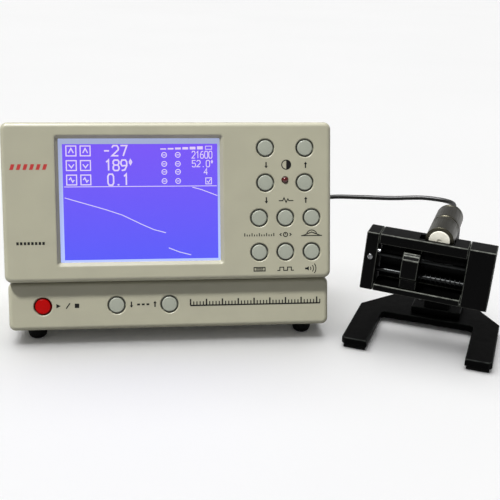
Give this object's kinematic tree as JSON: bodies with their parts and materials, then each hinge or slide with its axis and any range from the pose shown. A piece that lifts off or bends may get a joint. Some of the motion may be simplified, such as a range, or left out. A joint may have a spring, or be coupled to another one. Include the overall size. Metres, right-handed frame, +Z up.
{
  "type": "timegrapher",
  "caption": "Bench watch timing instrument with a leaning screen and key panel, and a spring-jaw test stand with a swivelling pickup barrel on a cable.",
  "frame": {"origin": "middle of the footprint of instrument and stand together, on the surface they stand on; the free cable and its plug are not counted", "axes": "+X to the instrument's right as its user faces it, towards the stand; +Y to its rear; +Z up"},
  "size_m": [0.3905, 0.2456, 0.1666],
  "materials": {
    "beige": "warm grey-beige moulded plastic with a fine even grain, satin",
    "key_grey": "cooler light grey moulded key caps, satin",
    "key_red": "bright red key cap, satin gloss",
    "screen_glass": "clear window, smooth and glossy",
    "lcd_panel": "blue-violet lit screen with pale figures",
    "led_red": "dark red lamp, unlit",
    "circuit_board": "green circuit board",
    "black_rubber": "black rubber feet and pads, slightly worn",
    "black_plastic": "black moulded plastic",
    "bright_metal": "plated connector shells",
    "stand_black": "black satin coating on a steel plate",
    "cradle_black": "black anodised aluminium with bright worn edges",
    "barrel_alloy": "turned aluminium, satin, with fine turning rings",
    "polished_steel": "bright polished steel",
    "white_nylon": "off-white nylon",
    "cable_rubber": "black cable sheath with a soft sheen"
  },
  "bodies": {
    "root": {"front_bezel": "beige", "lower_panel": "beige", "top_cover": "beige", "base_tray": "beige", "rear_panel": "beige", "screen_window": "screen_glass", "lcd_module": "lcd_panel", "signal_led": "led_red", "key_board": "circuit_board", "lower_key_board": "circuit_board", "main_board": "circuit_board", "foot_front_left": "black_rubber", "foot_front_right": "black_rubber", "foot_rear_left": "black_rubber", "foot_rear_right": "black_rubber", "power_switch_housing": "black_plastic", "power_inlet": "black_plastic", "printer_port": "bright_metal", "signal_socket": "bright_metal", "speaker": "black_plastic", "stand_base": "stand_black", "stand_pad_front_left": "black_rubber", "stand_pad_front_right": "black_rubber", "stand_pad_rear_left": "black_rubber", "stand_pad_rear_right": "black_rubber", "stand_post": "stand_black", "friction_washer": "white_nylon", "bearing_sleeve": "barrel_alloy", "barrel_end_cap": "barrel_alloy", "cable_gland": "cable_rubber", "cable_run": "cable_rubber", "cable_tail": "cable_rubber", "cable_coil": "cable_rubber", "signal_plug": "bright_metal"},
    "key_contrast_down": {"button_contrast_down": "key_grey"},
    "key_contrast_up": {"button_contrast_up": "key_grey"},
    "key_gain_down": {"button_gain_down": "key_grey"},
    "key_gain_up": {"button_gain_up": "key_grey"},
    "key_beat_number": {"button_beat_number": "key_grey"},
    "key_mode": {"button_mode": "key_grey"},
    "key_lift_angle": {"button_lift_angle": "key_grey"},
    "key_print": {"button_print": "key_grey"},
    "key_period": {"button_period": "key_grey"},
    "key_speaker_key": {"button_speaker_key": "key_grey"},
    "key_start_stop": {"button_start_stop": "key_red"},
    "key_value_down": {"button_value_down": "key_grey"},
    "key_value_up": {"button_value_up": "key_grey"},
    "power_switch": {"power_rocker": "black_plastic"},
    "stand_head": {"swivel_shaft": "polished_steel", "microphone_barrel": "barrel_alloy", "barrel_nose_disc": "white_nylon", "cradle_body": "cradle_black", "fixed_jaw": "cradle_black", "end_block": "cradle_black", "sensor_pin": "polished_steel", "guide_rod_upper": "polished_steel", "guide_rod_lower": "polished_steel", "jaw_screw": "polished_steel", "jaw_spring": "polished_steel"},
    "clamp_jaw": {"sliding_jaw": "cradle_black"}
  },
  "joints": [
    {"name": "press_contrast_down", "type": "slide", "parent": "root", "child": "key_contrast_down", "axis": [0, 0.9613, -0.2756], "range_m": [0, 0.0015], "stiffness_N_per_m": 300, "springref_m": -0.0015},
    {"name": "press_contrast_up", "type": "slide", "parent": "root", "child": "key_contrast_up", "axis": [0, 0.9613, -0.2756], "range_m": [0, 0.0015], "stiffness_N_per_m": 300, "springref_m": -0.0015},
    {"name": "press_gain_down", "type": "slide", "parent": "root", "child": "key_gain_down", "axis": [0, 0.9613, -0.2756], "range_m": [0, 0.0015], "stiffness_N_per_m": 300, "springref_m": -0.0015},
    {"name": "press_gain_up", "type": "slide", "parent": "root", "child": "key_gain_up", "axis": [0, 0.9613, -0.2756], "range_m": [0, 0.0015], "stiffness_N_per_m": 300, "springref_m": -0.0015},
    {"name": "press_beat_number", "type": "slide", "parent": "root", "child": "key_beat_number", "axis": [0, 0.9613, -0.2756], "range_m": [0, 0.0015], "stiffness_N_per_m": 300, "springref_m": -0.0015},
    {"name": "press_mode", "type": "slide", "parent": "root", "child": "key_mode", "axis": [0, 0.9613, -0.2756], "range_m": [0, 0.0015], "stiffness_N_per_m": 300, "springref_m": -0.0015},
    {"name": "press_lift_angle", "type": "slide", "parent": "root", "child": "key_lift_angle", "axis": [0, 0.9613, -0.2756], "range_m": [0, 0.0015], "stiffness_N_per_m": 300, "springref_m": -0.0015},
    {"name": "press_print", "type": "slide", "parent": "root", "child": "key_print", "axis": [0, 0.9613, -0.2756], "range_m": [0, 0.0015], "stiffness_N_per_m": 300, "springref_m": -0.0015},
    {"name": "press_period", "type": "slide", "parent": "root", "child": "key_period", "axis": [0, 0.9613, -0.2756], "range_m": [0, 0.0015], "stiffness_N_per_m": 300, "springref_m": -0.0015},
    {"name": "press_speaker_key", "type": "slide", "parent": "root", "child": "key_speaker_key", "axis": [0, 0.9613, -0.2756], "range_m": [0, 0.0015], "stiffness_N_per_m": 300, "springref_m": -0.0015},
    {"name": "press_start_stop", "type": "slide", "parent": "root", "child": "key_start_stop", "axis": [0, 0.9613, -0.2756], "range_m": [0, 0.0015], "stiffness_N_per_m": 300, "springref_m": -0.0015},
    {"name": "press_value_down", "type": "slide", "parent": "root", "child": "key_value_down", "axis": [0, 0.9613, -0.2756], "range_m": [0, 0.0015], "stiffness_N_per_m": 300, "springref_m": -0.0015},
    {"name": "press_value_up", "type": "slide", "parent": "root", "child": "key_value_up", "axis": [0, 0.9613, -0.2756], "range_m": [0, 0.0015], "stiffness_N_per_m": 300, "springref_m": -0.0015},
    {"name": "switch_rock", "type": "hinge", "parent": "root", "child": "power_switch", "pos_m": [0.0247, 0.0826, 0.0455], "axis": [1, 0, 0], "range_deg": [-18, 0]},
    {"name": "head_swivel", "type": "hinge", "parent": "root", "child": "stand_head", "pos_m": [0.14643, -0.00926, 0.0857], "axis": [0.4316, 0.9021, 0], "range_deg": [-95, 95]},
    {"name": "jaw_slide", "type": "slide", "parent": "stand_head", "child": "clamp_jaw", "axis": [0.9013, -0.4312, -0.0419], "range_m": [0, 0.026], "stiffness_N_per_m": 60, "springref_m": -0.02}
  ]
}
